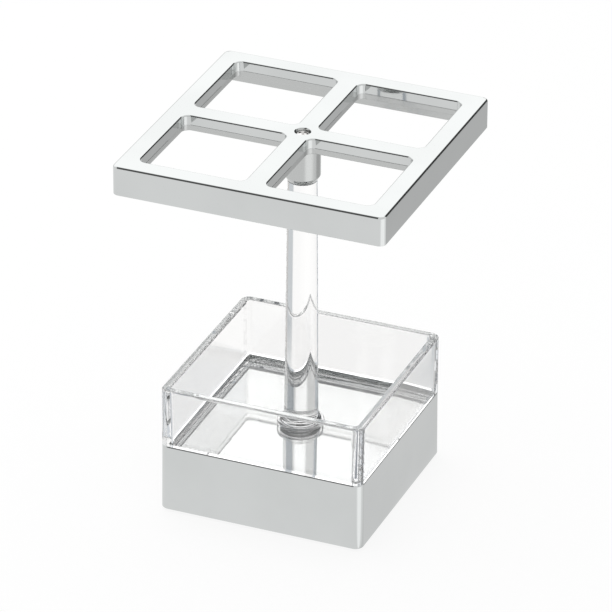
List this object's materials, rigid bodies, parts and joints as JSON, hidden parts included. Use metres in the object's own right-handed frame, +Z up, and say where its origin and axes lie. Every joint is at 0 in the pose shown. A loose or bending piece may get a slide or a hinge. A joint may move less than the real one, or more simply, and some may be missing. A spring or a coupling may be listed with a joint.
{
  "type": "toothbrush holder",
  "caption": "Square toothbrush holder: a plated top frame with brush openings stands on a clear stem over a clear drip tray and a plated base.",
  "frame": {"origin": "on the table under the axis of the stem, level with the undersides of the foot pads", "axes": "+Z up along the stem; -Y is the wide front face of the picture and +X the face on its right"},
  "size_m": [0.08, 0.08, 0.1113],
  "materials": {
    "chrome_plate": "bright chromium plate on moulded plastic",
    "clear_plastic": "clear, polished",
    "seal_rubber": "translucent",
    "screw_steel": "bright",
    "weight_steel": "zinc plated",
    "cover_plastic": "fine moulded grain",
    "pad_foam": "soft, matt"
  },
  "bodies": {
    "root": {"top_frame": "chrome_plate", "base_shell": "chrome_plate", "clear_stem": "clear_plastic", "clear_tray": "clear_plastic", "stem_seal": "seal_rubber", "frame_screw": "screw_steel", "stem_screw": "screw_steel", "cover_screws": "screw_steel", "stem_washer": "screw_steel", "weight_plate": "weight_steel", "bottom_cover": "cover_plastic", "front_left_pad": "pad_foam", "front_right_pad": "pad_foam", "back_right_pad": "pad_foam", "back_left_pad": "pad_foam"}
  },
  "joints": []
}
